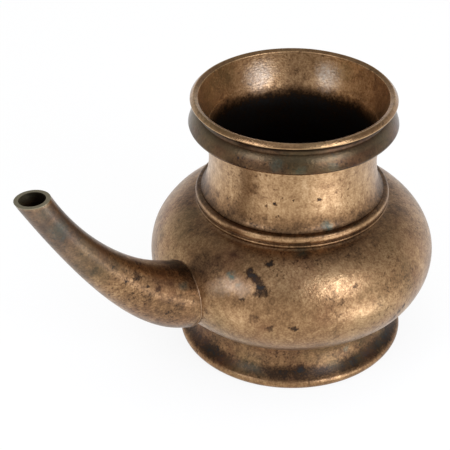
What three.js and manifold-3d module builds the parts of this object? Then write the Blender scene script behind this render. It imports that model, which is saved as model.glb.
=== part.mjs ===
// A kindi: the spouted water vessel of Kerala, cast in bell metal and brazed together from turned pieces.
// Millimetres, +Z up. The vessel stands on its foot at z = 0 and its spout points along -X.
import * as THREE from 'three';
import { mergeVertices } from 'three/addons/utils/BufferGeometryUtils.js';
import Module from 'manifold-3d';

const wasm = await Module();
wasm.setup();

// Driving dimensions. Heights stack up from the surface that the foot stands on.
const SEGMENTS = 44; // facets round the vessel's axis
const GAP = 0.3; // room for braze between two pieces
const WALL = 2.6; // cast wall of the bowl and the neck

const FOOT_HEIGHT = 21.7;
const FOOT_TOP_RADIUS = 44.6; // where it meets the bowl
const FOOT_BAND_TAPER = 1.6; // how much wider the upright band is at the cove
const FOOT_SPREAD = 7.3; // how far the rounded edge stands out from the band
const FOOT_EDGE = 1.25; // half the thickness of that edge
const FOOT_FLAT = 2.4; // breadth of the flat that the vessel stands on
const FOOT_COVE_HEIGHT = 8.4;
const FOOT_WALL = 2.6;

const BELLY_RADIUS = 66.3; // at the equator
const BELLY_UNDER = { height: 24.1, power: 2.15 }; // under the equator, a little fuller than an ellipse
const BELLY_OVER = { height: 26.3, power: 1.85 }; // over the equator, a little leaner
const BELLY_SAG = 1.4; // how much lower the bottom lies on the axis
const SHOULDER_FLAT = 0.6; // from the bowl's opening to where the belly's curve starts
const UPSTAND_HEIGHT = 0.6; // rim of the bowl's opening, which carries the collar

const FINE_RING_PROUD = 1.2; // fine ring under the bead, out from the upstand
const FINE_RING_HEIGHT = 1;
const COLLAR_GROOVE_HEIGHT = 1;
const COLLAR_GROOVE_DEPTH = 0.9;
const BEAD_PROUD = 1.3; // bead round the neck's foot, out from the upstand
const BEAD_HEIGHT = 3.5;

const WAIST_RADIUS = 38.2;
const WAIST_HEIGHT = 14.3; // over the ledge that rests on the collar
const NECK_HEIGHT = 31.5; // from that ledge to the roll
const NECK_TOP_FLARE = 2.4; // how much wider the neck is at its top than at its waist
const NECK_LEDGE_FLARE = 3.7; // and at its ledge
const SPIGOT_INSET = 1.6; // the spigot is narrower than the ledge
const SPIGOT_SHOWS = 2; // how far the neck's spigot stands out of the bowl's ceiling

const ROLL_PROUD = 6.4; // the heavy moulding under the lip, out from the neck's top
const ROLL_HEIGHT = 8.8;
const ROLL_WIDEST = 1.2; // height over its underside
const GROOVE_DEPTH = 3.8; // groove between the roll and the lip, in from the roll
const LIP_INSET = 0.9; // in from the roll
const LIP_HEIGHT = 6.3; // from the groove to the crest
const LIP_BREADTH = 1.8; // from the lip's edge to where it turns down into the mouth

const SPOUT_SIDES = 24;
const SPOUT_STEPS = 14;
const SPOUT_REACH = 132.7; // mouth's centre from the vessel's axis
const SPOUT_MOUTH_Z = 122.4; // the mouth is cut level
const SPOUT_ROOT = { sunk: 2.9, drop: 0.5, radius: 16.3, wall: 2.4 }; // in the belly, under its equator
const SPOUT_LEAVES = { run: 17.8, rise: 3.6, radius: 14.4 }; // how the curve and the taper leave the root
const SPOUT_ARRIVES = { run: 20.5, rise: 42.6, radius: 5.1 }; // and how they arrive at the mouth
const SPOUT_TIP = { radius: 6.8, wall: 1.7 };
const SPOUT_INLAY = { length: 16.4, drop: 1, narrowing: 1.3 }; // the root's way into the belly, before coping

const BRAZE = 1; // breadth of the seam round the spout's root
const CORNER_BRAZE = 1.5; // breadth of the seams in the turned corners

// Profiles lie in the r-z half plane and run anticlockwise, so the turned faces point out.
const at = (r, z) => new THREE.Vector2(r, z);
const radians = THREE.MathUtils.degToRad;

// Part of an ellipse, or with a power other than 2 of the squarer or leaner oval of that power.
function arc(r, z, halfR, halfZ, from, to, steps, power = 2) {
  const bulge = (value) => Math.sign(value) * Math.abs(value) ** (2 / power);
  return Array.from({ length: steps + 1 }, (_, i) => {
    const angle = radians(from + ((to - from) * i) / steps);
    return at(r + halfR * bulge(Math.cos(angle)), z + halfZ * bulge(Math.sin(angle)));
  });
}

function bend(start, pull, end, steps) {
  return new THREE.QuadraticBezierCurve(start, pull, end).getPoints(steps);
}

// A value or a point part of the way from one to another; a point may go a different part of the way up.
const share = THREE.MathUtils.lerp;
const between = (a, b, across, up) => at(share(a.x, b.x, across), share(a.y, b.y, up));

// Joins runs of profile points and leaves out a point that repeats the one before it.
function profile(...runs) {
  const all = runs.flat();
  return all.filter((p, i) => i === 0 || p.distanceTo(all[i - 1]) > 0.02);
}

function turned(points, closed) {
  const path = closed ? [...points, points[0].clone()] : points;
  return new THREE.LatheGeometry(path, SEGMENTS).rotateX(Math.PI / 2);
}

// Welded triangles without the slivers that a turned profile leaves on its axis.
function welded(geometry) {
  const bare = geometry.clone();
  bare.deleteAttribute('normal');
  bare.deleteAttribute('uv');
  const merged = mergeVertices(bare, 1e-4);
  const kept = [];
  const index = merged.index.array;
  for (let i = 0; i < index.length; i += 3) {
    const [a, b, c] = index.slice(i, i + 3);
    if (a !== b && b !== c && c !== a) kept.push(a, b, c);
  }
  merged.setIndex(kept);
  return merged;
}

function solid(geometry) {
  const mesh = welded(geometry);
  return new wasm.Manifold(new wasm.Mesh({
    numProp: 3,
    vertProperties: new Float32Array(mesh.attributes.position.array),
    triVerts: new Uint32Array(mesh.index.array),
  }));
}

function geometryOf(manifold) {
  const { numProp, vertProperties, triVerts } = manifold.getMesh();
  const geometry = new THREE.BufferGeometry();
  const vertices = new THREE.InterleavedBuffer(vertProperties, numProp);
  geometry.setAttribute('position', new THREE.InterleavedBufferAttribute(vertices, 3, 0));
  geometry.setIndex(new THREE.BufferAttribute(triVerts, 1));
  return geometry;
}

// Levels where one piece meets the next
const bowlUnderZ = FOOT_HEIGHT + GAP;
const bellyMidZ = bowlUnderZ + BELLY_UNDER.height;
const ceilingZ = bellyMidZ + BELLY_OVER.height - WALL;
const upstandTopZ = bellyMidZ + BELLY_OVER.height + UPSTAND_HEIGHT;
const collarBottomZ = upstandTopZ + GAP;
const beadBottomZ = collarBottomZ + FINE_RING_HEIGHT + COLLAR_GROOVE_HEIGHT;
const neckLedgeZ = beadBottomZ + BEAD_HEIGHT + GAP;
const neckTopZ = neckLedgeZ + NECK_HEIGHT;
const rollBottomZ = neckTopZ + GAP;
const grooveZ = rollBottomZ + ROLL_HEIGHT;
const lipTopZ = grooveZ + LIP_HEIGHT;

// Radii where one piece fits the next
const neckTopRadius = WAIST_RADIUS + NECK_TOP_FLARE;
const ledgeRadius = WAIST_RADIUS + NECK_LEDGE_FLARE;
const spigotRadius = ledgeRadius - SPIGOT_INSET;
const upstandBore = spigotRadius + GAP;
const upstandRadius = upstandBore + WALL;
const bellyCentreR = upstandBore + SHOULDER_FLAT;
const bellyRound = BELLY_RADIUS - bellyCentreR;
const rollRadius = neckTopRadius + ROLL_PROUD;

// Bowl
const shoulderAngle = 80;

// The belly's curve from one angle to another, a margin larger all round.
function bellyCurve(margin, from, to, steps) {
  const half = bellyRound + margin;
  const part = ({ height, power }, a, b) => (
    arc(bellyCentreR, bellyMidZ, half, height + margin, a, b, steps / 2, power));
  const under = part(BELLY_UNDER, Math.min(from, to), 0);
  const over = part(BELLY_OVER, 0, Math.max(from, to));
  const all = [...under, ...over.slice(1)];
  return from < to ? all : all.reverse();
}

// The bottom from the axis out to where it flattens.
function sag(axisZ, flatZ) {
  return bend(at(0, axisZ), at(bellyCentreR * 0.5, axisZ), at(bellyCentreR * 0.85, flatZ), 3);
}

// The belly's outside from the axis underneath up to the top of its rim.
function bellyOutside(margin) {
  const floorZ = bowlUnderZ - BELLY_SAG - margin;
  const flank = bellyCurve(margin, -90, shoulderAngle, 16);
  const shoulder = flank.at(-1);
  const upstand = upstandRadius + margin;
  return profile(
    sag(floorZ, flank[0].y),
    flank,
    bend(shoulder, at(upstand, share(shoulder.y, upstandTopZ, 0.4)), at(upstand, upstandTopZ), 3),
  );
}

function bowlShell() {
  const inside = bellyCurve(-WALL, 90, -90, 14);
  const floorZ = bowlUnderZ - BELLY_SAG + WALL;
  return turned(profile(
    bellyOutside(0),
    [at(upstandBore, upstandTopZ), at(upstandBore, ceilingZ + GAP)],
    inside,
    sag(floorZ, inside.at(-1).y).reverse(),
  ), false);
}

// The belly as one full body, a margin larger all round, to cope the spout and its seam against.
function bellyBody(margin) {
  const outside = bellyOutside(margin);
  return solid(turned([...outside, at(0, outside.at(-1).y)], false));
}

// Neck: a waisted tube whose spigot goes down through the collar ring into the bowl.
const spigotBottomZ = ceilingZ - SPIGOT_SHOWS;

function neckTube() {
  const foot = at(ledgeRadius, neckLedgeZ + 0.8);
  const waist = at(WAIST_RADIUS, neckLedgeZ + WAIST_HEIGHT);
  const top = at(neckTopRadius, neckTopZ);
  const flare = [
    ...bend(foot, between(foot, waist, 1, 0.3), waist, 5),
    ...bend(waist, between(waist, top, 0, 0.52), top, 4),
  ];
  const bore = flare.filter((p) => p.y > neckLedgeZ + WALL).map((p) => at(p.x - WALL, p.y)).reverse();
  return turned(profile(
    [at(spigotRadius - WALL, spigotBottomZ), at(spigotRadius, spigotBottomZ), at(spigotRadius, neckLedgeZ)],
    [at(ledgeRadius, neckLedgeZ)],
    flare,
    bore,
    [at(spigotRadius - WALL, neckLedgeZ - WALL)],
  ), true);
}

// Collar ring: a fine ring, a groove and a bead, slipped over the neck's spigot.
function collarRing() {
  const bore = spigotRadius + GAP;
  const fine = FINE_RING_HEIGHT / 2;
  const bead = BEAD_HEIGHT / 2;
  const fineRadius = upstandRadius + FINE_RING_PROUD;
  const topZ = beadBottomZ + BEAD_HEIGHT;
  return turned(profile(
    [at(bore, collarBottomZ)],
    arc(fineRadius - fine, collarBottomZ + fine, fine, fine, -90, 90, 3),
    [at(fineRadius - COLLAR_GROOVE_DEPTH, beadBottomZ)],
    arc(upstandRadius + BEAD_PROUD - bead, beadBottomZ + bead, bead, bead, -60, 90, 5),
    [at(bore, topZ)],
  ), true);
}

// Mouth rim: the roll, the groove over it, the lip and the flared throat, cast as one ring.
function mouthRim() {
  const throat = at(neckTopRadius - WALL, rollBottomZ);
  const widest = at(rollRadius, rollBottomZ + ROLL_WIDEST);
  const groove = at(rollRadius - GROOVE_DEPTH, grooveZ);
  const lip = at(rollRadius - LIP_INSET, share(grooveZ, lipTopZ, 0.72));
  const crest = at(lip.x - LIP_BREADTH, lipTopZ);
  return turned(profile(
    [throat],
    bend(at(rollRadius - ROLL_WIDEST, rollBottomZ), at(rollRadius, rollBottomZ), widest, 3),
    bend(widest, between(widest, groove, 0.44, 0.72), groove, 5),
    bend(between(groove, lip, 0, 0.12), between(groove, lip, 0.5, 0.45), lip, 2),
    bend(lip, between(lip, crest, 0.1, 1), crest, 3),
    bend(between(crest, throat, 0.12, 0.04), between(crest, throat, 0.87, 0.47), throat, 5),
  ), true);
}

// Foot ring: open underneath, with a rounded edge, a cove and an upright band. Its top follows the belly.
const undersideZ = (r) => {
  const reach = Math.max(r - bellyCentreR, 0) / bellyRound;
  const { height, power } = BELLY_UNDER;
  return bellyMidZ - height * (1 - reach ** power) ** (1 / power);
};

function footRing() {
  const band = at(FOOT_TOP_RADIUS + FOOT_BAND_TAPER, FOOT_COVE_HEIGHT);
  const top = at(FOOT_TOP_RADIUS, undersideZ(FOOT_TOP_RADIUS) - GAP);
  const inner = FOOT_TOP_RADIUS - FOOT_WALL;
  const hollow = at(inner, undersideZ(inner) - GAP);
  const seat = band.x + FOOT_SPREAD - FOOT_EDGE;
  const edgeTop = FOOT_EDGE * 2;
  const underEdge = at(seat - FOOT_FLAT, FOOT_EDGE * 0.7);
  return turned(profile(
    [at(seat - FOOT_FLAT, 0)],
    arc(seat, FOOT_EDGE, FOOT_EDGE, FOOT_EDGE, -90, 100, 5),
    bend(at(seat - 1, edgeTop + 0.2), at(band.x, edgeTop + 0.6), band, 4),
    bend(at(band.x - 0.4, band.y + 0.4), between(band, top, 0.4, 0.5), top, 3),
    [hollow],
    bend(between(hollow, underEdge, 0, 0.2), at(inner, edgeTop), underEdge, 4),
  ), true);
}

// Spout: a tapering horn along a cubic curve in the plane y = 0.
const rootOut = BELLY_RADIUS - SPOUT_ROOT.sunk;
const rootZ = bellyMidZ - SPOUT_ROOT.drop;

function spoutFrames() {
  const spine = new THREE.CubicBezierCurve(
    at(rootOut, rootZ),
    at(rootOut + SPOUT_LEAVES.run, rootZ + SPOUT_LEAVES.rise),
    at(SPOUT_REACH - SPOUT_ARRIVES.run, SPOUT_MOUTH_Z - SPOUT_ARRIVES.rise),
    at(SPOUT_REACH, SPOUT_MOUTH_Z),
  );
  const radii = [SPOUT_ROOT, SPOUT_LEAVES, SPOUT_ARRIVES, SPOUT_TIP].map((p) => p.radius);
  const taper = new THREE.CubicBezierCurve(...radii.map((radius, i) => at(i / 3, radius)));
  const frames = [];
  for (let i = 0; i <= SPOUT_STEPS; i += 1) {
    const t = i / SPOUT_STEPS;
    const wall = share(SPOUT_ROOT.wall, SPOUT_TIP.wall, t);
    frames.push({ centre: spine.getPoint(t), along: spine.getTangent(t), radius: taper.getPoint(t).y, wall });
  }
  const { length, drop, narrowing } = SPOUT_INLAY;
  const radius = SPOUT_ROOT.radius - narrowing;
  const inlay = { centre: at(rootOut - length, rootZ - drop), along: at(1, 0), radius };
  const tip = frames.at(-1);
  const beyond = tip.centre.clone().addScaledVector(tip.along, SPOUT_TIP.radius);
  return [{ ...frames[0], ...inlay }, ...frames, { ...tip, centre: beyond }];
}

// A closed horn round the spout's curve, its radius changed by grow(frame).
function horn(grow, lengthen) {
  const frames = spoutFrames();
  const vertices = [];
  const ends = [frames[0], frames.at(-1)].map((frame, i) => (
    frame.centre.clone().addScaledVector(frame.along, i === 0 ? -lengthen : lengthen)));
  frames.forEach((frame, i) => {
    const centre = i === 0 ? ends[0] : i === frames.length - 1 ? ends[1] : frame.centre;
    const radius = frame.radius + grow(frame);
    for (let k = 0; k < SPOUT_SIDES; k += 1) {
      const angle = (k / SPOUT_SIDES) * Math.PI * 2;
      const lift = Math.cos(angle) * radius;
      const out = centre.x - frame.along.y * lift;
      vertices.push(-out, Math.sin(angle) * radius, centre.y + frame.along.x * lift);
    }
  });
  ends.forEach((end) => vertices.push(-end.x, 0, end.y));
  const geometry = new THREE.BufferGeometry();
  geometry.setAttribute('position', new THREE.Float32BufferAttribute(vertices, 3));
  geometry.setIndex(hornFaces(frames.length));
  return solid(geometry);
}

function hornFaces(rings) {
  const faces = [];
  const rootTip = rings * SPOUT_SIDES;
  const last = (rings - 1) * SPOUT_SIDES;
  for (let k = 0; k < SPOUT_SIDES; k += 1) {
    const next = (k + 1) % SPOUT_SIDES;
    for (let i = 0; i < rings - 1; i += 1) {
      const a = i * SPOUT_SIDES;
      const b = a + SPOUT_SIDES;
      faces.push(a + k, b + next, b + k, a + k, a + next, b + next);
    }
    faces.push(rootTip, next, k, rootTip + 1, last + k, last + next);
  }
  return faces;
}

const spoutBore = () => horn((frame) => -frame.wall, 2);

function levelCut() {
  const side = SPOUT_TIP.radius * 5;
  const block = new THREE.BoxGeometry(side, side, side);
  return solid(block.translate(-SPOUT_REACH, 0, SPOUT_MOUTH_Z + side / 2));
}

function spoutTube() {
  return geometryOf(horn(() => 0, 0).subtract(spoutBore()).subtract(bellyBody(GAP)).subtract(levelCut()));
}

// The braze seam lies in the corner between the belly and the spout's coped root.
function spoutSeam() {
  const band = horn(() => GAP + BRAZE, 0).subtract(horn(() => GAP, 1));
  return geometryOf(band.intersect(bellyBody(GAP + BRAZE)).subtract(bellyBody(GAP)));
}

function bowl() {
  return geometryOf(solid(bowlShell()).subtract(spoutBore()));
}

// Braze seam in the corner under a ledge and outside a turned wall, with a hollow face.
function cornerSeam(wallRadius, ledgeZ) {
  const r = wallRadius + GAP;
  const breadth = CORNER_BRAZE;
  return turned([
    at(r, ledgeZ - breadth),
    at(r + breadth * 0.35, ledgeZ - breadth * 0.75),
    at(r + breadth, ledgeZ - breadth * 0.2),
    at(r + breadth, ledgeZ),
    at(r, ledgeZ),
  ], true);
}

function metal(color, roughness) {
  return new THREE.MeshStandardMaterial({ color, roughness, metalness: 1 });
}

function piece(name, geometry, material) {
  const mesh = new THREE.Mesh(geometry, material);
  mesh.name = name;
  return mesh;
}

const vessel = new THREE.Group();
vessel.add(
  piece('bowl', bowl(), metal(0x96714f, 0.42)),
  piece('neck', neckTube(), metal(0xa98356, 0.38)),
  piece('collar_ring', collarRing(), metal(0x8d6a48, 0.4)),
  piece('mouth_rim', mouthRim(), metal(0x7a614a, 0.45)),
  piece('foot_ring', footRing(), metal(0x8a6849, 0.45)),
  piece('spout', spoutTube(), metal(0x93704f, 0.42)),
  piece('spout_braze', spoutSeam(), metal(0x6f5236, 0.55)),
  piece('neck_braze', cornerSeam(spigotRadius, ceilingZ - GAP), metal(0x6f5236, 0.55)),
  piece('mouth_braze', cornerSeam(neckTopRadius, rollBottomZ - GAP), metal(0x8f7350, 0.5)),
  piece('foot_braze', cornerSeam(FOOT_TOP_RADIUS, undersideZ(FOOT_TOP_RADIUS) - GAP), metal(0x6f5236, 0.55)),
);

// The origin is the middle of the standing box, on the surface the foot rests on.
const box = new THREE.Box3().setFromObject(vessel);
vessel.position.x = -(box.min.x + box.max.x) / 2;

const group = new THREE.Group();
group.name = 'kindi';
group.add(vessel);
group.updateMatrixWorld(true);

export default group;
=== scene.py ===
# %% [markdown]
# # A kindi in bell metal
# A kindi is the spouted water vessel of Kerala: a round belly on an open foot, a waisted neck that the hand
# grips, a heavy rolled mouth, and a long horn of a spout. This lesson builds it over an exact engineering
# model that is already in the scene, so every piece must sit where its plain counterpart sits. We model in
# millimetres about the vessel's own axis, because that is how a turner thinks, and move each finished mesh
# into the frame's metres at the end.

import math

import bmesh
import bpy
from mathutils import Matrix, Quaternion, Vector, noise
from mathutils.bvhtree import BVHTree


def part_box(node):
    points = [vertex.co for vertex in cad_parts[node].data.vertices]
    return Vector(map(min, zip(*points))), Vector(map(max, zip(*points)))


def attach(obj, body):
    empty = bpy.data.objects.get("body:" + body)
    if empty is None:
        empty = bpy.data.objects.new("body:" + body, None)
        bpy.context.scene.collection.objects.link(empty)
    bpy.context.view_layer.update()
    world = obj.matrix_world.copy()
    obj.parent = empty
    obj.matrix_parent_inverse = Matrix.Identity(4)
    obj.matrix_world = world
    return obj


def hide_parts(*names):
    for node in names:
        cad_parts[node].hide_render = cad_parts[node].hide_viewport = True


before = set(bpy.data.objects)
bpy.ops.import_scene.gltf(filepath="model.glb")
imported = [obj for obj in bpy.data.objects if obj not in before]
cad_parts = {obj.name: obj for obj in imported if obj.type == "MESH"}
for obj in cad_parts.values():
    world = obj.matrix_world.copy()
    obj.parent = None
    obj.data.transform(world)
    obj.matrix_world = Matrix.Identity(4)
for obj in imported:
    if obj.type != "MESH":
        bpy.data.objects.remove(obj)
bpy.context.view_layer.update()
MM = 0.001
foot_low, foot_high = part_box("foot_ring")
AXIS_X = (foot_low.x + foot_high.x) / 2


def measured(node):
    """Radius, bottom and top of a turned piece of the frame, in millimetres."""
    low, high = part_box(node)
    return (high.y - low.y) / 2 / MM, low.z / MM, high.z / MM


FOOT_R, _, _ = measured("foot_ring")
BELLY_R, BOWL_BOTTOM, BOWL_TOP = measured("bowl")
COLLAR_R, _, COLLAR_TOP = measured("collar_ring")
LEDGE_R, SPIGOT_BOTTOM, _ = measured("neck")
ROLL_R, ROLL_BOTTOM, LIP_TOP = measured("mouth_rim")
print("axis at x =", round(AXIS_X / MM, 2), "belly", round(BELLY_R, 2), "height", round(LIP_TOP, 2))

# %% [markdown]
# ## Curves for the profiles
# A turned piece is a profile swept round an axis, so the profile is where the design lives. Two curves are
# enough for all of it. One is part of an oval for whatever is round: with a power of 2 it is an ellipse,
# with a little more it is fuller and with a little less it is leaner, as a hand-turned belly is. The other
# is a bend for whatever flows from one line into another.


# %% Profile helpers
def arc(r, z, half_r, half_z, start, end, steps, power=2.0):
    """Points on an oval in the r-z plane, angles in degrees from +r towards +z."""

    def bulge(value):
        return math.copysign(abs(value) ** (2 / power), value)

    turns = [math.radians(start + (end - start) * i / steps) for i in range(steps + 1)]
    return [(r + half_r * bulge(math.cos(t)), z + half_z * bulge(math.sin(t))) for t in turns]


def bend(a, pull, b, steps):
    """Points on a quadratic curve from a to b, drawn towards pull."""
    along = [i / steps for i in range(steps + 1)]
    shares = [((1 - t) ** 2, 2 * t * (1 - t), t**2) for t in along]
    return [tuple(u * p + v * q + w * s for p, q, s in zip(a, pull, b)) for u, v, w in shares]


def joined(*runs):
    """The runs as one list, without a point that repeats the one before it."""
    out = []
    for point in (p for run in runs for p in run):
        if not out or math.dist(point, out[-1]) > 0.01:
            out.append(point)
    return out


print("a quarter arc has", len(arc(0, 0, 1, 1, 0, 90, 8)), "points")

# %% [markdown]
# ## Spinning a profile
# The real pieces were cast and then turned on a lathe. Spinning the profile with `bmesh.ops.spin` is the
# same motion. The full turn is closed with `use_merge`, or the seam would leave a doubled line that catches
# the light. A vessel that has been scoured for many years isn't perfectly round either, so a slow noise
# moves the skin by a fraction of a millimetre: that is what bends the reflections on a real one.

# %% Turned pieces
TURNS = 224
SHARP = math.radians(42)
DOUBLE = 0.001  # points nearer to each other than this are one point
STEADY = 6.0  # under this height the skin wanders less and less, so that the foot stands flat


def finished(bm, name, wobble=0.0, grain=26.0):
    """Moves the skin by slow noise, sets the mesh in the frame and returns its object."""
    bmesh.ops.remove_doubles(bm, verts=bm.verts, dist=DOUBLE)
    bmesh.ops.recalc_face_normals(bm, faces=bm.faces)
    bm.normal_update()
    moves = []
    for v in bm.verts:
        moves.append(v.normal * wobble * min(1, v.co.z / STEADY) * noise.noise(v.co / grain))
    for v, move in zip(bm.verts, moves):
        v.co += move
    bmesh.ops.scale(bm, verts=bm.verts, vec=(MM, MM, MM))
    bmesh.ops.translate(bm, verts=bm.verts, vec=(AXIS_X, 0, 0))
    mesh = bpy.data.meshes.new(name)
    bm.to_mesh(mesh)
    bm.free()
    mesh.shade_smooth()
    mesh.set_sharp_from_angle(angle=SHARP)
    obj = bpy.data.objects.new(name, mesh)
    bpy.context.scene.collection.objects.link(obj)
    return obj


def turned(name, points, closed=True, wobble=0.2):
    """A profile in millimetres, spun round the vessel's axis."""
    bm = bmesh.new()
    verts = [bm.verts.new((r, 0, z)) for r, z in points]
    edges = [bm.edges.new(pair) for pair in zip(verts, verts[1:])]
    if closed:
        edges.append(bm.edges.new((verts[-1], verts[0])))
    bmesh.ops.spin(bm, geom=verts + edges, cent=(0, 0, 0), axis=(0, 0, 1), dvec=(0, 0, 0),
                   angle=2 * math.pi, steps=TURNS, use_merge=True, use_duplicate=False)
    obj = finished(bm, name, wobble)
    print(name, len(obj.data.polygons), "faces")
    return obj


# %% [markdown]
# ## The bowl
# The belly is an oval in section, wider than it is tall, a little fuller under its equator than over it.
# Under it the bottom sags by a millimetre or so, and on top a short upstand carries the neck. One skin with
# a Solidify modifier would give it a wall, but the profile is drawn as a shell with a real inside, because
# the mouth is wide and the light that gets in must find a floor to fall on.

# %% Bowl
WALL = 2.6
SAG = 1.4
UNDER = BOWL_BOTTOM + SAG
UNDER_HEIGHT, UNDER_POWER = 24.1, 2.15
OVER_HEIGHT, OVER_POWER = 26.3, 1.85
MIDDLE = UNDER + UNDER_HEIGHT
COLLAR_BREADTH, SHOULDER_FLAT = 3.9, 0.6
BORE_R = COLLAR_R - COLLAR_BREADTH
UPSTAND_R = BORE_R + WALL
RING_R = BORE_R + SHOULDER_FLAT
ROUND = BELLY_R - RING_R


def belly(margin, start, end, steps):
    """The belly's curve between two angles, a margin larger all round."""
    low = arc(RING_R, MIDDLE, ROUND + margin, UNDER_HEIGHT + margin, min(start, end), 0, steps, UNDER_POWER)
    high = arc(RING_R, MIDDLE, ROUND + margin, OVER_HEIGHT + margin, 0, max(start, end), steps, OVER_POWER)
    both = low + high[1:]
    return both if start < end else both[::-1]


def sag(middle_z, edge_z):
    """The bottom, from the axis to where it is flat."""
    return bend((0.0, middle_z), (RING_R * 0.5, middle_z), (RING_R * 0.85, edge_z), 10)


flank = belly(0, -90, 80, 44)
shoulder = flank[-1]
bowl = turned(
    "bowl_shell",
    joined(
        sag(BOWL_BOTTOM, UNDER),
        flank,
        bend(shoulder, (UPSTAND_R + 0.2, shoulder[1] + 0.9), (UPSTAND_R, BOWL_TOP), 6),
        [(BORE_R, BOWL_TOP)],
        belly(-WALL, 90, -90, 34),
        sag(BOWL_BOTTOM + WALL, UNDER + WALL)[::-1],
    ),
    closed=False,
    wobble=0.45,
)

# %% [markdown]
# ## The neck, the collar and the mouth
# The neck is a tube with a waist. The collar ring hides the joint between the neck and the bowl: a bead, a
# groove and a fine ring. The mouth rim is the heaviest casting. Its lip slopes up from a crisp outer edge
# to a rounded crest, a narrow second slope leads down inside it, and the throat under that is a little
# cupped. Below the lip a lean roll swells out to a low, worn corner. All of it could be one long profile,
# but they are separate pieces on the real vessel, and keeping them apart lets each have its own polish.

# %% Neck
SEAT = 0.05
LEDGE = COLLAR_TOP + SEAT
WAIST_HEIGHT, NECK_FLARE = 14.5, 2.4
WAIST_R, WAIST = 38.2, LEDGE + WAIST_HEIGHT
NECK_TOP_R = WAIST_R + NECK_FLARE
NECK_END = ROLL_BOTTOM + 0.4
BORE, FUNNEL = WAIST_R - WALL, 12
GAP = 0.3
SPIGOT_R = BORE_R - GAP
waist = joined(
    bend((LEDGE_R, LEDGE + 0.5), (WAIST_R + 0.9, LEDGE + 2.2), (WAIST_R, WAIST), 26),
    bend((WAIST_R, WAIST), (WAIST_R, WAIST + 9.0), (NECK_TOP_R, NECK_END), 16),
)
neck = turned(
    "neck_tube",
    joined(
        [(SPIGOT_R - WALL, SPIGOT_BOTTOM), (SPIGOT_R, SPIGOT_BOTTOM), (SPIGOT_R, LEDGE)],
        arc(LEDGE_R - 0.3, LEDGE + 0.25, 0.3, 0.25, -90, 20, 4),
        waist,
        bend((NECK_TOP_R - WALL, NECK_END), (BORE, ROLL_BOTTOM - 5.2), (BORE, ROLL_BOTTOM - FUNNEL), 12),
        [(r - WALL, z) for r, z in reversed(waist) if LEDGE + WALL < z < WAIST],
        [(SPIGOT_R - WALL, LEDGE - WALL)],
    ),
    wobble=0.4,
)

# %% Collar ring
COLLAR_BASE = BOWL_TOP - 0.1
FINE_R, FINE_Z, FINE = UPSTAND_R + 0.7, BOWL_TOP + 0.8, 0.5
BEAD_R, BEAD, BEAD_HEIGHT, BEAD_POWER = COLLAR_R - 1.75, 1.75, 1.95, 2.6
collar = turned(
    "collar_ring_turned",
    joined(
        [(BORE_R, COLLAR_BASE), (UPSTAND_R, COLLAR_BASE)],
        arc(FINE_R, FINE_Z, FINE, FINE, -90, 90, 10),
        arc(BEAD_R, COLLAR_TOP - BEAD_HEIGHT, BEAD, BEAD_HEIGHT, -75, 86, 26, BEAD_POWER),
        [(BORE_R, COLLAR_TOP)],
    ),
)


# %% Mouth rim
def off(point, outward, upward):
    """A point of a profile, moved by so many millimetres."""
    return point[0] + outward, point[1] + upward


ROLL_WIDEST = ROLL_BOTTOM + 2.0
GROOVE = (ROLL_R - 3.8, ROLL_BOTTOM + 8.8)
LIP_EDGE = (ROLL_R - 0.8, LIP_TOP - 1.9)
CREST = (ROLL_R - 2.6, LIP_TOP)
INNER = off(CREST, -2.1, -0.9)
THROAT = (NECK_TOP_R - WALL, ROLL_BOTTOM)
rim = turned(
    "mouth_rim_turned",
    joined(
        [THROAT],
        bend((ROLL_R - 3.0, ROLL_BOTTOM), (ROLL_R - 0.4, ROLL_BOTTOM + 0.1), (ROLL_R, ROLL_WIDEST), 12),
        bend((ROLL_R, ROLL_WIDEST), (ROLL_R - 1.55, ROLL_WIDEST + 5.0), GROOVE, 26),
        bend(GROOVE, off(GROOVE, -0.2, 2.6), off(LIP_EDGE, -0.6, -0.6), 10),
        bend(off(LIP_EDGE, -0.3, -0.4), LIP_EDGE, off(LIP_EDGE, -0.2, 0.4), 5),
        bend(off(CREST, 0.4, -0.3), off(CREST, 0, 0.1), off(CREST, -0.4, -0.2), 6),
        bend(off(INNER, 0.4, 0.2), INNER, off(INNER, 0, -0.6), 5),
        bend(off(INNER, -0.1, -1.0), off(THROAT, 2.9, 7.0), THROAT, 24),
    ),
    wobble=0.3,
)

# %% [markdown]
# ## The foot ring
# The foot is an open ring. An upright band hangs from the bowl and sweeps out in a hollow curve to a thick
# round edge that takes the knocks. A bevel could round a plain corner, but the sweep has to leave the round
# edge without a kink, so its pull point is set square to the radius where the arc ends. The foot stands on
# a narrow flat, so the profile comes down to exactly z = 0.

# %% Foot ring
EDGE = 2.4
EDGE_R = FOOT_R + 0.2 - EDGE
FOOT_TOP_R = FOOT_R - 8.6
FOOT_FLAT = 2.4
BAND = (FOOT_R - 7.5, 14.5)
SWEEP_TURN, SWEEP_PULL = 55, 6.25
outward, upward = math.cos(math.radians(SWEEP_TURN)), math.sin(math.radians(SWEEP_TURN))
sweep_start = (EDGE_R + EDGE * outward, EDGE + EDGE * upward)
sweep_pull = (sweep_start[0] - SWEEP_PULL * upward, sweep_start[1] + SWEEP_PULL * outward)
foot = turned(
    "foot_ring_turned",
    joined(
        [(EDGE_R - FOOT_FLAT, 0.0), (EDGE_R - 0.1, 0.0)],
        arc(EDGE_R, EDGE, EDGE, EDGE, -88, SWEEP_TURN, 20),
        bend(sweep_start, sweep_pull, BAND, 24),
        bend(BAND, (BAND[0] - 0.3, 18.5), (FOOT_TOP_R, UNDER - 0.1), 8),
        [(FOOT_TOP_R - WALL, UNDER - 0.2)],
        bend((FOOT_TOP_R - WALL, 17.0), (FOOT_TOP_R - WALL, 3.5), (EDGE_R - 2.5, 1.0), 14),
    ),
    wobble=0.3,
)

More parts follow.
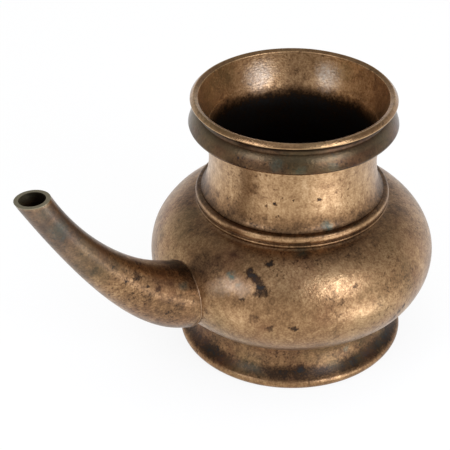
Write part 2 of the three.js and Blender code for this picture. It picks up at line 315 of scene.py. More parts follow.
# %% [markdown]
# ## The spout
# The spout is a horn: a round section that shrinks as it climbs along one smooth curve. A Blender curve
# with a round bevel would do for an even tube. Here a cubic curve gives the line and a second one gives the
# radius, so the taper can be slow at the root and quick in the middle, as on the real casting. Circles are
# set along the curve, square to it, and bridged into one skin. The top of the root is filed down a little
# near the belly.

# %% Horn helpers
MOUTH_Z = LIP_TOP - 3.6
SPINE = ((63.4, MIDDLE - 0.5), (81.2, MIDDLE + 3.1), (112.2, MOUTH_Z - 42.6), (132.7, MOUTH_Z))
TAPER = (16.3, 14.4, 5.1, 6.8)
INLAY = (47.0, MIDDLE - 1.5, 15.0)
ROOT_WALL, TIP_WALL = 2.4, 1.7
PAST_MOUTH = 7  # the horn is made this much too long and then cut level
NUDGE = 0.002  # step along the curve that gives its direction
SIDES = 96


def cubic(values, t):
    """The value at t on a cubic curve through its four control values."""
    shares = ((1 - t) ** 3, 3 * t * (1 - t) ** 2, 3 * t * t * (1 - t), t**3)
    return sum(share * value for share, value in zip(shares, values))


def spine(t):
    """Centre and direction of the horn at t, with the spout pointing along -X."""
    nearby = [min(max(t + step, 0), 1) for step in (0, NUDGE, -NUDGE)]
    here, ahead, behind = ([cubic(axis, share) for axis in zip(*SPINE)] for share in nearby)
    way = Vector((behind[0] - ahead[0], 0, ahead[1] - behind[1])).normalized()
    return Vector((-here[0], 0, here[1])), way


def wall(t):
    """The thickness of the horn's wall at t."""
    return ROOT_WALL + (TIP_WALL - ROOT_WALL) * t


def stations(grow, lengthen, steps=72):
    """Rings of (centre, direction, radius) from inside the belly to past the mouth."""
    level = Vector((-1, 0, 0))
    out = [(Vector((-INLAY[0] + lengthen, 0, INLAY[1])), level, INLAY[2] + grow(0))]
    for i in range(steps + 1):
        centre, way = spine(i / steps)
        out.append((centre, way, cubic(TAPER, i / steps) + grow(i / steps)))
    centre, way, radius = out[-1]
    return out + [(centre + way * (PAST_MOUTH + lengthen), way, radius)]


# %% A skin over rings
def tube(rings, sides, closed=False, flare=None):
    """A skin over rings of (centre, direction, radius), its ends filled unless it closes on itself.
    The flare, if there is one, says how far a point moves out along its ray from the centre."""
    bm = bmesh.new()
    loops = []
    for centre, way, radius in rings:
        place = Matrix.Translation(centre) @ way.to_track_quat("Z", "Y").to_matrix().to_4x4()
        ring = bmesh.ops.create_circle(bm, segments=sides, radius=radius, matrix=place)
        for vert in ring["verts"] if flare else ():
            ray = (vert.co - centre).normalized()
            vert.co += ray * flare(vert.co, ray)
        loops.append({edge for vert in ring["verts"] for edge in vert.link_edges})
    for a, b in zip(loops, loops[1:] + loops[:1] if closed else loops[1:]):
        bmesh.ops.bridge_loops(bm, edges=[*a, *b])
    if not closed:
        for end in (loops[0], loops[-1]):
            bmesh.ops.edgeloop_fill(bm, edges=list(end))
    return bm


# %% Where the horn nears the belly
def clearance(point):
    """How far a point lies outside the belly's oval, in millimetres, and less than nothing inside it."""
    height, power = (OVER_HEIGHT, OVER_POWER) if point.z > MIDDLE else (UNDER_HEIGHT, UNDER_POWER)
    out, up = max(math.hypot(point.x, point.y) - RING_R, 0.01), abs(point.z - MIDDLE)
    share = ((out / ROUND) ** power + (up / height) ** power) ** (1 / power)
    return math.hypot(out, up) * (1 - 1 / share)


SADDLE, SADDLE_REACH = -1.3, 12.0


def saddle(point, ray):
    """How far the top of the root stands out as it nears the belly. It is less than nothing where it is filed
    down."""
    topside = min(max((ray.z - 0.15) / 0.7, 0), 1)
    near_belly = min(max(1 - clearance(point) / SADDLE_REACH, 0), 1)
    return SADDLE * topside**2 * (3 - 2 * topside) * near_belly**2


print("horn rings:", len(stations(lambda t: 0, 0)))
print("the root starts", round(-clearance(spine(0)[0]), 1), "mm inside the belly")

# %% [markdown]
# ## Cutting the port and coping the root
# The founder filed the root of the spout to fit the belly and opened a port behind it. The two skins could
# be knitted point by point, but booleans do both jobs here. Each cut is applied at once and its cutter
# thrown away, so that what is left in the scene is only the vessel.


# %% Cut the spout and the bowl
def carve(obj, cutter):
    """Takes the cutter out of the object, for good."""
    cut = obj.modifiers.new("cut", "BOOLEAN")
    cut.operation, cut.solver, cut.object = "DIFFERENCE", "EXACT", cutter
    graph = bpy.context.evaluated_depsgraph_get()
    made = bpy.data.meshes.new_from_object(obj.evaluated_get(graph))
    made.shade_smooth()
    made.set_sharp_from_angle(angle=SHARP)
    obj.modifiers.clear()
    old, obj.data = obj.data, made
    bpy.data.meshes.remove(old)
    bpy.data.objects.remove(cutter)


def bore():
    """The hollow of the horn, a little longer than the horn at both ends."""
    return finished(tube(stations(lambda t: -wall(t), 2), SIDES), "bore")


BITE = 1.2  # the root reaches this far into the belly's skin
SLICE = 60
core = joined([(0.0, UNDER)], belly(-BITE, -90, 90, 44), [(0.0, MIDDLE + OVER_HEIGHT - BITE)])
above = bmesh.new()
bmesh.ops.create_cube(above, size=SLICE, matrix=Matrix.Translation((-SPINE[3][0], 0, MOUTH_Z + SLICE / 2)))
spout = finished(tube(stations(lambda t: 0, 0), SIDES, flare=saddle), "spout_horn")
carve(spout, bore())
carve(spout, turned("core", core, closed=False, wobble=0))
carve(spout, finished(above, "above"))
carve(bowl, bore())
print("spout has", len(spout.data.polygons), "faces, bowl", len(bowl.data.polygons))

# %% [markdown]
# ## The braze seams
# Where the spout's root meets the belly, a thin line of braze was left standing. Its path is found by
# walking out along the horn's skin until it leaves the belly's oval, and a thin round bead is laid on that
# path. The seams under the roll and over the foot are turned fillets in the corners.


# %% Seams
def leaving(turn):
    """Where the line along the horn's skin at a turn comes out of the belly."""
    inner, outer = 0.0, 0.6
    for _ in range(24):
        t = (inner + outer) / 2
        centre, way = spine(t)
        lift = Vector((way.z, 0, -way.x)) * math.cos(turn) + Vector((0, 1, 0)) * math.sin(turn)
        skin = centre + lift * cubic(TAPER, t)
        skin += lift * saddle(skin, lift)
        inner, outer = (inner, t) if clearance(skin) > 0 else (t, outer)
    return skin


def fillet(name, r, z, breadth):
    """A hollow-faced seam in the corner between a wall of radius r and a ledge at height z."""
    face = bend((r - 0.1, z - breadth), (r + breadth * 0.15, z - breadth * 0.15), (r + breadth, z + 0.1), 8)
    return turned(name, joined([(r - 0.4, z + 0.4), (r - 0.4, z - breadth)], face, [(r + breadth, z + 0.4)]))


SEAM_STEPS, SEAM_SIDES, SEAM_R = 120, 10, 0.3
SEAM_WOBBLE, SEAM_GRAIN = 0.25, 3.0
path = [leaving(2 * math.pi * i / SEAM_STEPS) for i in range(SEAM_STEPS)]
ways = [(b - a).normalized() for a, b in zip(path[-1:] + path[:-1], path[1:] + path[:1])]
beads = [(point, way, SEAM_R) for point, way in zip(path, ways)]
spout_seam = finished(tube(beads, SEAM_SIDES, closed=True), "spout_seam", SEAM_WOBBLE, SEAM_GRAIN)
mouth_seam = fillet("mouth_seam", NECK_TOP_R - 0.1, ROLL_BOTTOM, 1.4)
foot_seam = fillet("foot_seam", FOOT_TOP_R, UNDER - 0.1, 1.1)
print("root seam", len(spout_seam.data.polygons), "faces")

# %% [markdown]
# ## The camera
# The photograph looks down from about 35 degrees with a long lens, so the rings stay nearly parallel. The
# camera is set before the finishes because they use it: a mark on the old metal is written down where the
# photograph shows it, and a ray through that point of the picture finds its real place on the vessel.

# %% Camera
PICTURE = 450
LENS, SENSOR = 104.0, 36.0
CAMERA = Vector((-290.6, -390.5, 397.2)) * MM
TARGET = Vector((13.05, 20.06, 54.94)) * MM
LEAN = math.radians(-0.74)
lens = bpy.data.cameras.new("camera")
lens.lens, lens.sensor_width = LENS, SENSOR
camera = bpy.data.objects.new("camera", lens)
bpy.context.scene.collection.objects.link(camera)
camera.location = CAMERA
camera.rotation_mode = "QUATERNION"
aim = (CAMERA - TARGET).to_track_quat("Z", "Y") @ Quaternion((0, 0, 1), LEAN)
camera.rotation_quaternion = aim
bpy.context.scene.camera = camera


skins = {}


def seen_at(obj, x, y):
    """The point of the object that the photograph shows at pixel (x, y), in millimetres from the axis."""
    if obj.name not in skins:
        places = [vert.co for vert in obj.data.vertices]
        skins[obj.name] = BVHTree.FromPolygons(places, [face.vertices[:] for face in obj.data.polygons])
    shift = Vector((x - PICTURE / 2, PICTURE / 2 - y, 0)) * SENSOR / PICTURE
    ray = aim @ (shift - Vector((0, 0, LENS))).normalized()
    hit = skins[obj.name].ray_cast(CAMERA, ray)[0]
    return (hit - Vector((AXIS_X, 0, 0))) / MM


print("the neck's middle is seen at", [round(v, 1) for v in seen_at(neck, 293, 205)])

# %% [markdown]
# ## The metal
# Bell metal is copper with about a fifth of tin. Rubbed, it is a warm pale gold. Left alone, it grows a
# film of copper oxides that goes from honey through brown to black as it thickens. Colour, roughness and
# metallic could each have a pattern of their own, but here one number, the film's thickness, drives all
# three, so that they always agree. The film is thin on every crest that hands and cloths reach and thick in
# every groove, and in hollows, at joints and inside it is thickened further as painted shade, so most of the
# finish is a matter of saying where those are. Cast metal is also finely pitted, and the pits hold dark
# oxide.


# %% Shader helpers
def linear(code):
    """A colour written as sRGB hex, as Blender's linear RGBA."""
    parts = [int(code[i:i + 2], 16) / 255 for i in (0, 2, 4)]
    return [p / 12.92 if p <= 0.04045 else ((p + 0.055) / 1.055) ** 2.4 for p in parts] + [1.0]


def add(tree, kind, inputs=None, stops=(), **settings):
    """A node with its properties set, its inputs linked or filled, and stops of (place, hex) if it is a ramp.
    Returns its outputs."""
    node = tree.nodes.new("ShaderNode" + kind)
    for key, value in settings.items():
        setattr(node, key, value)
    for key, value in (inputs or {}).items():
        if isinstance(value, bpy.types.NodeSocket):
            tree.links.new(value, node.inputs[key])
        else:
            node.inputs[key].default_value = value
    for i, (place, code) in enumerate(stops):
        if i > 1:
            node.color_ramp.elements.new(place)
        node.color_ramp.elements[i].position = place
        node.color_ramp.elements[i].color = linear(code)
    return node.outputs


print("rubbed metal in linear light:", [round(v, 3) for v in linear("b59168")])

# %% [markdown]
# ## Where the film is thick or thin
# Every pattern below reads Object coordinates, turned into millimetres from the vessel's axis, so its size
# is simply the size of the real thing: a cloud of 17 mm, a speck of 1.4 mm. Distance from the axis and
# height make a second pair of coordinates, in which a whole ring of the vessel is a single point. That
# makes a worn crest, a painted highlight on a ring or a groove darkened as painted shade one distance
# measurement. The real pits and grains are finer than a picture of the whole vessel can show, so both are
# drawn about a millimetre wide.


# %% Film patterns
TEAR, TEAR_FINENESS = 6.0, 0.4
SOFT = 0.6


def places(tree):
    """Where the skin is: in millimetres from the axis, as the radius and height that a ring has, and in
    millimetres again but pushed about by noise, which gives a mark a torn edge."""
    here = add(tree, "TexCoord")["Object"]
    mm = add(tree, "Mapping", {"Vector": here, "Location": (-AXIS_X / MM, 0, 0), "Scale": (1 / MM,) * 3})[0]
    flat = add(tree, "VectorMath", {0: mm, 1: (1, 1, 0)}, operation="MULTIPLY")[0]
    radius = add(tree, "VectorMath", {0: flat}, operation="LENGTH")["Value"]
    height = add(tree, "SeparateXYZ", {0: mm})["Z"]
    ring = add(tree, "CombineXYZ", {0: radius, 1: height})[0]
    ragged = {"Vector": mm, "Scale": TEAR_FINENESS, "Detail": 5.0, "Roughness": SOFT}
    push = add(tree, "TexNoise", ragged)["Color"]
    centred = add(tree, "VectorMath", {0: push, 1: (0.5, 0.5, 0.5)}, operation="SUBTRACT")[0]
    torn = add(tree, "VectorMath", {0: centred, 1: (TEAR,) * 3, 2: mm}, operation="MULTIPLY_ADD")[0]
    return {"mm": mm, "ring": ring, "torn": torn}


def blotches(tree, vector, size, low, high, detail=4.0, stretch=(1, 1, 1), between=(0.3, 0.7)):
    """Noise with blotches of a size in millimetres, spread over low to high."""
    scaled = add(tree, "Mapping", {"Vector": vector, "Scale": stretch})[0]
    grainy = {"Vector": scaled, "Scale": 1 / size, "Detail": detail, "Roughness": SOFT}
    cloud = add(tree, "TexNoise", grainy)[0]
    return add(tree, "MapRange", {0: cloud, 1: between[0], 2: between[1], 3: low, 4: high})[0]


def near(tree, vector, point, reach, strength):
    """Strength at a point, fading to nothing at a reach in millimetres."""
    gap = add(tree, "VectorMath", {0: vector, 1: point}, operation="DISTANCE")["Value"]
    fade = {0: gap, 1: reach * 0.25, 2: reach, 3: strength, 4: 0.0}
    return add(tree, "MapRange", fade, interpolation_type="SMOOTHSTEP")[0]


def by_height(tree, vector, low, high, below, above):
    """One thickness under a height, another over a second height, and a smooth change between the two."""
    height = add(tree, "SeparateXYZ", {0: vector})["Z"]
    change = {0: height, 1: low, 2: high, 3: below, 4: above}
    return add(tree, "MapRange", change, interpolation_type="SMOOTHSTEP")[0]


# %% The film's colours
FILM = (
    (0.0, "d6b48c"),
    (0.22, "b59168"),
    (0.42, "8e6b48"),
    (0.60, "674b31"),
    (0.78, "3f2b19"),
    (1.0, "120b06"),
)
print("the film goes through", len(FILM), "colours")


def reddish(tree, at):
    """How much of a reddish tinge is where."""
    return blotches(tree, at["mm"], 24, 0.0, 0.35, between=(0.5, 0.75))


def olive(tree, at):
    """How much of an olive tinge is where, with Y turned round so that the two don't fall together."""
    return blotches(tree, at["mm"], 31, 0.0, 0.35, between=(0.5, 0.75), stretch=(1, -1, 1))


# %% [markdown]
# ## One metal for every piece
# Every finish is the same metal under another film. Ten materials made by hand would drift apart, so one
# function makes them all. A piece says how thick its film usually is and which layers are its own, and the
# function adds what all of them share: clouds, mottling, grain and dark specks. The sum picks the colour and
# sets the roughness. Stains such as verdigris and lime lie over it as coats, and so do a few
# painted highlights.

# %% Bell metal
THIN_ROUGHNESS, THICK_ROUGHNESS = 0.3, 0.5
# Sizes in millimetres
CLOUD, MOTTLE, GRAIN = 17, 3.2, 0.9
SPECK, SPECKLED_PATCH = 1.4, 20
PIT, PIT_DEPTH = 1.1, 0.1


def bell_metal(name, level, film, coats=(), mottling=1.0, speckling=0.3, gloss=0.0):
    """Old bell metal. The level is the film's usual thickness from 0 to 1, film gives the layers that are
    special to a piece, and coats are stains and painted highlights, each a hex colour and a function for
    how much of it is where."""
    material = bpy.data.materials.new(name)
    material.use_nodes = True
    tree = material.node_tree
    shader = tree.nodes["Principled BSDF"]
    at = places(tree)
    dense = blotches(tree, at["mm"], SPECKLED_PATCH, 0.0, 1.0, between=(0.42, 0.6))
    dots = blotches(tree, at["mm"], SPECK, 0.0, speckling, between=(0.54, 0.68))
    layers = [
        blotches(tree, at["mm"], CLOUD, -0.1 * mottling, 0.1 * mottling),
        blotches(tree, at["mm"], MOTTLE, -0.11 * mottling, 0.11 * mottling, detail=5.0),
        blotches(tree, at["mm"], GRAIN, -0.1 * mottling, 0.1 * mottling, detail=2.0),
        add(tree, "Math", {0: dense, 1: dots}, operation="MULTIPLY")[0],
    ]
    thickness = level
    for layer in layers + film(tree, at):
        thickness = add(tree, "Math", {0: thickness, 1: layer})[0]
    colour = add(tree, "ValToRGB", {"Fac": thickness}, stops=FILM)["Color"]
    for code, how_much in coats:
        mixed = {0: how_much(tree, at), 6: colour, 7: linear(code)}
        colour = add(tree, "Mix", mixed, data_type="RGBA")[2]
    tree.links.new(colour, shader.inputs["Base Color"])
    dulling = {0: thickness, 1: 0.1, 2: 0.9, 3: THIN_ROUGHNESS - gloss, 4: THICK_ROUGHNESS - gloss}
    dulled = add(tree, "MapRange", dulling)[0]
    tree.links.new(dulled, shader.inputs["Roughness"])
    crusted = add(tree, "MapRange", {0: thickness, 1: 0.85, 2: 1.05, 3: 1.0, 4: 0.6})[0]
    tree.links.new(crusted, shader.inputs["Metallic"])
    shader.inputs["Coat Weight"].default_value = 0.25
    shader.inputs["Coat Roughness"].default_value = 0.3
    pits = blotches(tree, at["mm"], PIT, 0.0, 1.0, detail=3.0)
    bump = add(tree, "Bump", {"Height": pits, "Strength": 0.5, "Distance": PIT_DEPTH * MM})[0]
    tree.links.new(bump, shader.inputs["Normal"])
    return material


# %% [markdown]
# ## Marks
# A vessel this old has its own marks, and they are what makes it this one and not another. They could be
# painted by hand. A short list is easier to mend: each mark is noted where the photograph shows it, as a
# pixel, with its reach in millimetres and how strong it is.

# %% Where the marks are
NECK_MARKS = (
    ((275, 203.5), 1.3, 0.7), ((280.5, 199.5), 1.0, 0.5), ((294, 199.5), 1.1, 0.5), ((318.5, 199), 1.1, 0.6),
    ((320.5, 200), 0.9, 0.5), ((278.5, 217), 1.3, 0.6), ((267, 206), 0.9, 0.4), ((276, 189.5), 1.0, 0.3),
    ((254, 185), 2.0, 0.22), ((253, 191), 2.2, 0.25), ((218, 194), 2.4, 0.2),
)
# The wide mark at (203, 264) is painted shade in the crease over the spout's root.
BOWL_MARKS = (
    ((269.5, 264), 2.4, 0.5), ((249, 273), 2.8, 0.5), ((254, 277), 3.0, 0.5), ((259, 284), 3.2, 0.45),
    ((262, 291), 3.4, 0.42), ((257, 295), 2.0, 0.3), ((268, 293.5), 2.2, 0.34), ((296, 328.5), 1.5, 0.4),
    ((291.5, 328), 1.3, 0.35), ((270, 329), 2.4, 0.28), ((254, 319), 3.4, 0.2), ((206, 311), 1.6, 0.15),
    ((240, 299), 1.6, 0.3), ((234, 254), 3.4, 0.25), ((304, 255), 4.0, 0.22), ((356, 286), 2.0, 0.28),
    ((343, 303), 1.6, 0.25), ((354, 329), 1.1, 0.35), ((404, 305), 1.8, 0.4), ((399, 311), 2.0, 0.45),
    ((394, 317), 1.8, 0.4), ((390, 321), 1.4, 0.3), ((203, 264), 12.0, 0.3), ((222, 262), 8.0, 0.1),
    ((230, 286), 15.0, 0.12),
)
# The wide marks at (176, 264) and (188, 272) are painted shade where the root's top meets the belly.
SPOUT_MARKS = (
    ((113, 268), 1.3, 0.4), ((126, 281), 1.4, 0.35), ((148, 288), 1.5, 0.4), ((158, 290), 2.2, 0.3),
    ((137, 277), 3.0, 0.2), ((176, 264), 10.0, 0.3), ((188, 272), 8.0, 0.14), ((196, 285), 4.0, 0.14),
    ((63, 238), 5.0, 0.16), ((50, 224), 7.0, 0.12),
)
FOOT_MARKS = (((300, 368), 3.4, 0.35), ((352, 362), 3.0, 0.15))
BOWL_GREEN = (((231, 276), 2.8, 1.0), ((239, 284), 1.8, 0.35), ((300, 252), 4.0, 0.25))
# Pale patches on the belly's left, a stain and a painted highlight where the left lamp's highlight falls.
BOWL_PALE_AND_HIGHLIGHT = (((212, 289), 5.0, 0.3), ((222, 287), 6.0, 0.4), ((233, 285), 6.0, 0.4), ((243, 290), 5.0, 0.35))
NECK_GREEN = (((326, 225), 3.0, 0.5), ((331, 228), 2.4, 0.5))
ROLL_GREEN = (((276, 166), 4.5, 0.35), ((300, 171), 3.5, 0.25), ((334, 168), 3.5, 0.2))
# Pale haze laid where the lamps' highlights fall in the throat, partly a painted highlight.
THROAT_HAZE_AND_HIGHLIGHT = (((257, 76), 10.0, 0.5), ((266, 70), 8.0, 0.2), ((329, 78), 9.0, 0.6), ((326, 70), 7.0, 0.3))
THROAT_OLIVE = (((206, 88), 13.0, 0.4), ((222, 76), 12.0, 0.35), ((345, 72), 7.0, 0.3))
THROAT_MARKS = (
    ((222, 78), 12.0, 0.06), ((258, 70), 14.0, 0.1), ((214, 72), 2.0, 0.2), ((205, 95), 1.6, 0.3),
    ((348, 72), 9.0, 0.12), ((380, 92), 10.0, 0.1),
)
SPOUT_GREEN = (
    ((187, 265), 3.5, 0.6), ((184, 286), 3.5, 0.45), ((60, 230), 7.0, 0.35), ((44, 215), 5.0, 0.25),
)
FOOT_GREEN = (((346, 349), 2.2, 0.5),)
SEAM_WORN, SEAM_WORN_REACH = (199, 306), 15
# Where the roll's low corner is lighter, worn and painted with a reflection of the table, on its left half.
ROLL_WORN_AND_LIT, ROLL_WORN_AND_LIT_REACH = (230, 157), 50


def marked(obj, marks):
    """The marks as (place on the object in millimetres, reach, strength)."""
    return [(seen_at(obj, x, y), reach, strength) for (x, y), reach, strength in marks]


def stain_and_highlight(obj, marks):
    """How much of a stain or painted highlight is where, for marks that the photograph shows on an object."""
    spots = marked(obj, marks)

    def how_much(tree, at):
        amount = 0.0
        for spot in spots:
            amount = add(tree, "Math", {0: amount, 1: near(tree, at["torn"], *spot)}, use_clamp=True)[0]
        grain = blotches(tree, at["mm"], 1.2, 0.45, 1.15)
        return add(tree, "Math", {0: amount, 1: grain}, operation="MULTIPLY", use_clamp=True)[0]

    return how_much


neck_spots, bowl_spots = marked(neck, NECK_MARKS), marked(bowl, BOWL_MARKS)
foot_spots, spout_spots = marked(foot, FOOT_MARKS), marked(spout, SPOUT_MARKS)
throat_spots = marked(rim, THROAT_MARKS)
seam_spot, roll_spot = seen_at(bowl, *SEAM_WORN), seen_at(rim, *ROLL_WORN_AND_LIT)
print("marks on the neck:", len(neck_spots), "bowl:", len(bowl_spots), "spout:", len(spout_spots))

# %% [markdown]
# ## A finish for each piece
# The neck is where the hand goes, so its film is thin, with faint streaks that run down it, and its foot is
# darkened as painted shade. The roll is never gripped: it is dark, with a painted highlight in dusty brown
# on its shoulder, and the left half of its lowest corner is lighter, worn and painted with a reflection of
# the table. The bowl and the spout are brown, darkened as painted shade under the collar, over the foot and
# at the spout's root. The foot's hollow and the inside are nearly black, dark oxide darkened further as
# painted shade. One material with a mask for each piece would be long to read, so every piece has its own
# short film function over the same metal.


# %% Films of the neck, the collar and the mouth
def neck_film(tree, at):
    """Faint streaks, painted shade darkening the foot of the neck, and the neck's marks."""
    streaks = blotches(tree, at["mm"], 2.2, -0.05, 0.05, detail=2.0, stretch=(1, 1, 0.1))
    # The foot of the neck is darkened as painted shade, fading out over 11 mm above the ledge.
    return [streaks, by_height(tree, at["mm"], LEDGE, LEDGE + 11, 0.36, 0.0),
            *(near(tree, at["torn"], *spot) for spot in neck_spots)]


def collar_film(tree, at):
    """Two worn crests."""
    worn_bead = near(tree, at["ring"], (COLLAR_R, COLLAR_TOP - BEAD_HEIGHT, 0), 2.0, -0.25)
    worn_ring = near(tree, at["ring"], (FINE_R + FINE, FINE_Z, 0), 0.7, -0.1)
    return [worn_bead, worn_ring]


def roll_film(tree, at):
    """A lip rubbed bare, its two edges, and a low corner lighter on the left: worn, and a painted reflection
    of the table.
    """
    lip = by_height(tree, at["mm"], LIP_EDGE[1] - 1.6, LIP_EDGE[1] - 0.8, 0.0, -0.34)
    # The low corner's lighter line is wear and a painted reflection of the table, kept to the left half.
    low_corner = near(tree, at["ring"], (ROLL_R - 0.6, ROLL_BOTTOM + 0.4, 0), 1.7, -1.0)
    left_half = near(tree, at["torn"], roll_spot, ROLL_WORN_AND_LIT_REACH, 0.5)
    worn = add(tree, "Math", {0: low_corner, 1: left_half}, operation="MULTIPLY")[0]
    lip_edge = near(tree, at["ring"], (*LIP_EDGE, 0), 0.6, -0.22)
    crest = near(tree, at["ring"], (*CREST, 0), 0.45, -0.22)
    return [lip, worn, lip_edge, crest]


def roll_highlight(tree, at):
    """A painted highlight: a lighter band of dusty brown along the roll's shoulder."""
    return near(tree, at["ring"], (ROLL_R - 3.0, ROLL_BOTTOM + 7.0, 0), 2.6, 0.45)


def throat_film(tree, at):
    """Darker and darker down the neck, dark oxide and painted shade, and the throat's marks."""
    # Down the neck the film thickens, oxide and painted shade together.
    deepening = by_height(tree, at["torn"], ROLL_BOTTOM - 8, ROLL_BOTTOM + 1.0, 0.7, 0.0)
    return [deepening, *(near(tree, at["torn"], *spot) for spot in throat_spots)]


# %% Films of the bowl and the foot
def bowl_film(tree, at):
    """Painted shade under the collar and over the foot, and the bowl's marks."""
    # Both bands are painted shade: darker just under the collar and just over the foot.
    under_collar = by_height(tree, at["mm"], BOWL_TOP - 6, BOWL_TOP - 1, 0.0, 0.12)
    over_foot = by_height(tree, at["mm"], UNDER, UNDER + 6, 0.24, 0.0)
    return [under_collar, over_foot, *(near(tree, at["torn"], *spot) for spot in bowl_spots)]


def foot_film(tree, at):
    """Painted shade in the cove and at the joint, a worn edge, and the foot's marks."""
    # The cove and the joint under the bowl are darkened as painted shade.
    cove = near(tree, at["ring"], (EDGE_R - 0.2, EDGE * 2 + 2.8, 0), 4.6, 0.3)
    edge = near(tree, at["ring"], (EDGE_R + EDGE * 0.8, EDGE * 1.1, 0), 2.8, -0.12)
    joint = by_height(tree, at["mm"], UNDER - 5, UNDER - 1.5, 0.0, 0.35)
    return [cove, edge, joint, *(near(tree, at["torn"], *spot) for spot in foot_spots)]


# %% Films of the spout, its bore and its seam
def spout_film(tree, at):
    """Clouds, a worn edge round a dark flat top, an older upper half, and the spout's marks."""
    clouds = blotches(tree, at["mm"], 8, -0.07, 0.07)
    worn_edge = by_height(tree, at["mm"], MOUTH_Z - 1.7, MOUTH_Z - 1.1, 0.0, -0.2)
    flat_top = by_height(tree, at["mm"], MOUTH_Z - 0.6, MOUTH_Z - 0.1, 0.0, 0.1)
    upper = by_height(tree, at["torn"], MIDDLE + 18, MOUTH_Z - 14, 0.0, 0.14)
    return [clouds, worn_edge, flat_top, upper, *(near(tree, at["torn"], *spot) for spot in spout_spots)]


def limed_top(tree, at):
    """Lime on the spout's level-cut face."""
    return by_height(tree, at["mm"], MOUTH_Z - 0.6, MOUTH_Z - 0.1, 0.0, 0.6)


def dulled_end(tree, at):
    """A grey dullness that grows towards the spout's mouth."""
    return by_height(tree, at["torn"], MIDDLE + 22, MOUTH_Z - 10, 0.0, 0.5)


def bore_film(tree, at):
    """Darker a few millimetres down the spout, as painted shade."""
    return [by_height(tree, at["mm"], MOUTH_Z - 8, MOUTH_Z - 2, 0.4, 0.0)]


def mouth_bloom(tree, at):
    """Lime that the water left at the spout's mouth."""
    return by_height(tree, at["mm"], MOUTH_Z - 6, MOUTH_Z - 1, 0.0, 0.7)


def seam_film(tree, at):
    """Worn thin where the photograph shows the seam brightest."""
    return [near(tree, at["mm"], seam_spot, SEAM_WORN_REACH, -0.22)]


def seam_bloom(tree, at):
    """Pale at the same place."""
    return near(tree, at["mm"], seam_spot, SEAM_WORN_REACH, 0.4)


def even(tree, at):
    """No layers of its own."""
    return []


# %% The materials
# The first colour is that of the painted highlight on the roll's shoulder.
SHOULDER_HIGHLIGHT, GREEN, PALE, OLIVE = "5d503a", "4b6057", "b89e84", "6f6a47"
DULL, LIME, HAZE_AND_HIGHLIGHT, RUSSET = "74655a", "a5a185", "b3a595", "7c4c35"
TINGES = [(RUSSET, reddish), (OLIVE, olive)]
# Cast, turned and then rubbed by hands: a warm pale gold with soft, wide highlights.
rubbed = bell_metal("bell metal, rubbed by the hand", 0.25, neck_film, [(GREEN, stain_and_highlight(neck, NECK_GREEN))])
# Turned beads that a cloth reaches only on top: a bright line on each crest, and near black between them.
beaded = bell_metal("bell metal, dark between its beads", 0.55, collar_film, TINGES)
# The heaviest casting, wiped but never gripped: a smooth dark brown with sharper highlights, and a gold lip.
# Its shoulder carries a painted highlight, and the left half of its low corner a painted reflection.
rolled = bell_metal("bell metal, dark roll and worn lip", 0.72, roll_film,
                    [*TINGES, (SHOULDER_HIGHLIGHT, roll_highlight), (GREEN, stain_and_highlight(rim, ROLL_GREEN))], mottling=0.5, gloss=0.16)
# Turned, seldom touched: light satin brown, olive stains, pale haze and painted highlights, painted shade
# lower.
throated = bell_metal("bell metal, brown throat", 0.29, throat_film,
                      [(OLIVE, stain_and_highlight(rim, THROAT_OLIVE)), (HAZE_AND_HIGHLIGHT, stain_and_highlight(rim, THROAT_HAZE_AND_HIGHLIGHT))])
# Cast and turned, with a brown patina: honey brown with clouds, dark specks and a soft sheen.
brown = bell_metal("bell metal, brown patina", 0.36, bowl_film,
                   [*TINGES, (PALE, stain_and_highlight(bowl, BOWL_PALE_AND_HIGHLIGHT)), (GREEN, stain_and_highlight(bowl, BOWL_GREEN))])
# The same casting with painted shade in its hollow: nearly black between a brown band and a worn edge.
footed = bell_metal("bell metal, brown with a dark cove", 0.54, foot_film,
                    [*TINGES, (GREEN, stain_and_highlight(foot, FOOT_GREEN))])
# Cast and filed, not turned: more mottled and specked than the bowl, and grey-brown towards its end.
horned = bell_metal("bell metal, mottled brown", 0.43, spout_film,
                    [*TINGES, (DULL, dulled_end), (GREEN, stain_and_highlight(spout, SPOUT_GREEN)), (LIME, limed_top)],
                    mottling=1.2, speckling=0.4)
# As cast, and limed by water at its mouth: pale and chalky, soon lost in brown darkened as painted shade.
bored = bell_metal("bell metal, limed bore", 0.3, bore_film, [(LIME, mouth_bloom)])
# As cast, dark oxide and painted shade: almost no colour or shine, so the mouth reads as a dark hole.
black = bell_metal("bell metal, black with oxide and painted shade inside", 1.0, even, mottling=0.3)
# Brass solder left as it ran: a dull brown line that turns pale where it is worn.
braze = bell_metal("braze metal, dull, worn pale on the side", 0.6, seam_film, [(PALE, seam_bloom)])
print("materials:", [m.name for m in bpy.data.materials])

# %% [markdown]
# ## Standing in for the plain solids
# The vessel has no moving parts, so every piece rides on the one body of the frame. Each is listed with the
# plain solid it stands for, and that solid is then hidden. Nothing shows the seam inside the neck, so its
# solid stays and is only given its metal.

# %% Put each piece on its body
for obj, node, material, slot in (
    (bowl, "bowl", brown, "patinated_bronze"),
    (neck, "neck", rubbed, "rubbed_bronze"),
    (collar, "collar_ring", beaded, "rubbed_bronze"),
    (rim, "mouth_rim", rolled, "dark_bronze"),
    (foot, "foot_ring", footed, "patinated_bronze"),
    (spout, "spout", horned, "patinated_bronze"),
    (spout_seam, "spout_braze", braze, "braze"),
    (mouth_seam, "mouth_braze", braze, "braze"),
    (foot_seam, "foot_braze", footed, "braze"),
):
    obj.data.materials.clear()
    obj.data.materials.append(material)
    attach(obj, "root")
    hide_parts(node)
hidden_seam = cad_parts["neck_braze"]
hidden_seam.data.materials.clear()
hidden_seam.data.materials.append(braze)
print("nodes of the frame:", len(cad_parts))

